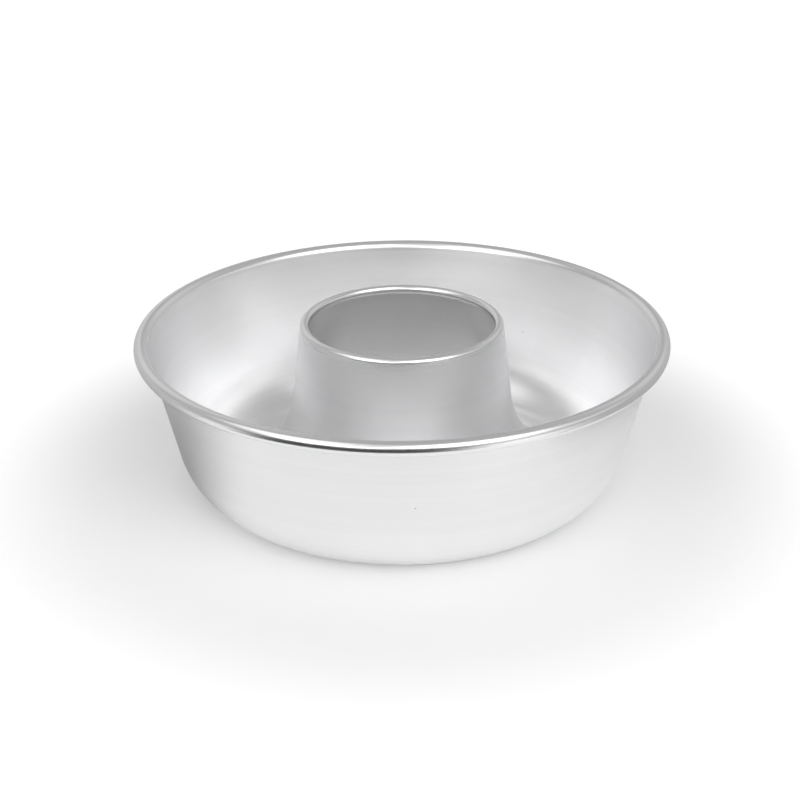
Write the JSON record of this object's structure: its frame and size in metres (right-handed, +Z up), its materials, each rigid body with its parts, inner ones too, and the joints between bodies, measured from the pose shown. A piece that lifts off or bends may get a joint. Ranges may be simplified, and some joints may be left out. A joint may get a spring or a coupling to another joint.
{
  "type": "ring cake pan",
  "caption": "Round metal ring cake pan with a rounded outer wall, an open tapered centre tube on a flared foot, and rim and tube edges rolled over wire.",
  "frame": {"origin": "on the pan's axis, in the plane the base rests on", "axes": "+Z up along the axis; the pan is round, so +X and +Y are any two level directions"},
  "size_m": [0.24, 0.24, 0.0763],
  "materials": {
    "satin_aluminium": "satin anodised sheet",
    "steel_wire": "plain drawn wire"
  },
  "bodies": {
    "root": {"pan_body": "satin_aluminium", "centre_tube": "satin_aluminium", "rim_wire": "steel_wire", "tube_wire": "steel_wire"}
  },
  "joints": []
}
